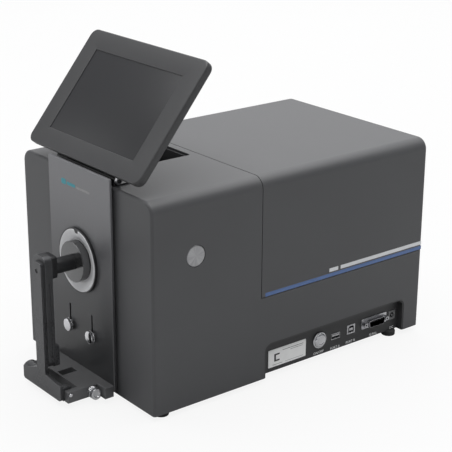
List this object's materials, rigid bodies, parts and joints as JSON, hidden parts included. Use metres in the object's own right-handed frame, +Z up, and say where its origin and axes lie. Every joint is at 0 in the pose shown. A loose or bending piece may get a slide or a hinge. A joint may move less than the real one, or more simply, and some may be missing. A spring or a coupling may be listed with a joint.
{
  "type": "benchtop spectrophotometer",
  "caption": "Benchtop grating spectrophotometer with front measuring port, hinged sample clamp arm, tilting display, top chamber and side connector bay.",
  "frame": {"origin": "centre of the instrument's footprint, on the surface its feet stand on", "axes": "+Z up; -Y out of the measuring port, towards the user; +X the side with the connectors"},
  "size_m": [0.24, 0.435, 0.3559],
  "materials": {
    "housing_paint": "satin dark grey, fine texture",
    "cover_paint": "satin dark grey, fine texture",
    "panel_metal": "anodised dark grey, satin",
    "dark_frame": "matt black",
    "stripe_blue": "gloss film",
    "stripe_white": "gloss film",
    "silver": "polished",
    "steel": "brushed",
    "ring_white": "satin white",
    "black_metal": "black anodised",
    "arm_metal": "dark grey anodised",
    "grey_pad": "fine matt",
    "rubber": "matt",
    "sphere_white": "matt white reflective coating",
    "cast_metal": "as machined",
    "lens_glass": "clear",
    "grating_mirror": "ruled mirror",
    "board_green": "solder mask",
    "capacitor_black": "sleeve",
    "label_white": "printed label",
    "connector_black": "moulded",
    "display_plastic": "fine texture",
    "screen": "black glass"
  },
  "bodies": {
    "instrument": {"aperture_plate": "ring_white", "base_plate": "dark_frame", "blue_stripes": "stripe_blue", "board_standoffs": "steel", "button_barrel": "silver", "cell_holder": "black_metal", "chamber_liner": "black_metal", "concave_grating": "grating_mirror", "cover_screws": "steel", "dc_jack": "connector_black", "detector_board": "board_green", "driver_board": "board_green", "flash_capacitor": "capacitor_black", "flash_lamp": "lens_glass", "front_panel": "panel_metal", "hinge_base": "black_metal", "hinge_nut": "silver", "hinge_pin": "steel", "jackscrews": "steel", "label_plate": "label_white", "lamp_housing": "black_metal", "lens_tube": "black_metal", "main_board": "board_green", "main_housing": "housing_paint", "objective_lens": "lens_glass", "optical_bench": "cast_metal", "panel_backer": "dark_frame", "pivot_pin": "silver", "port_bay": "dark_frame", "port_ring": "ring_white", "port_tube": "black_metal", "rear_cover": "cover_paint", "rubber_feet": "rubber", "sample_stage": "arm_metal", "serial_insert": "connector_black", "serial_shell": "steel", "side_disc": "silver", "spectrometer_case": "black_metal", "spectrometer_lid": "black_metal", "sphere_front": "sphere_white", "sphere_rear": "sphere_white", "usb_a_port": "steel", "usb_b_port": "steel", "white_stripes": "stripe_white"},
    "display": {"display_back": "display_plastic", "display_bezel": "display_plastic", "screen_glass": "screen", "lcd_panel": "dark_frame", "display_bumpers": "rubber", "display_leaves": "black_metal"},
    "clamp_arm": {"arm_plate": "arm_metal", "arm_spine": "arm_metal", "arm_head": "black_metal"},
    "press_plunger": {"press_rod": "black_metal", "press_pad": "grey_pad", "pad_cushion": "rubber"},
    "left_rest": {"rest_left": "silver"},
    "right_rest": {"rest_right": "silver"},
    "lock_screw": {"stage_lock": "silver"},
    "power_button": {"button_cap": "silver"}
  },
  "joints": [
    {"name": "display_tilt", "type": "hinge", "parent": "instrument", "child": "display", "pos_m": [0, -0.154, 0.2382], "axis": [1, 0, 0], "range_deg": [-50, 15]},
    {"name": "arm_swing", "type": "hinge", "parent": "instrument", "child": "clamp_arm", "pos_m": [-0.003, -0.2095, 0.015], "axis": [1, 0, 0], "range_deg": [0, 90]},
    {"name": "press_slide", "type": "slide", "parent": "clamp_arm", "child": "press_plunger", "axis": [0, -1, 0], "range_m": [0, 0.01], "stiffness_N_per_m": 300, "springref_m": -0.006},
    {"name": "left_rest_slide", "type": "slide", "parent": "instrument", "child": "left_rest", "axis": [0, 0, 1], "range_m": [-0.0025, 0.022]},
    {"name": "right_rest_slide", "type": "slide", "parent": "instrument", "child": "right_rest", "axis": [0, 0, 1], "range_m": [-0.0025, 0.022]},
    {"name": "lock_screw_turn", "type": "hinge", "parent": "instrument", "child": "lock_screw", "pos_m": [0.041, -0.1835, 0.0115], "axis": [1, 0, 0], "range_deg": [-360, 360]},
    {"name": "power_press", "type": "slide", "parent": "instrument", "child": "power_button", "axis": [-1, 0, 0], "range_m": [0, 0.0015], "stiffness_N_per_m": 1200, "springref_m": -0.0015}
  ]
}
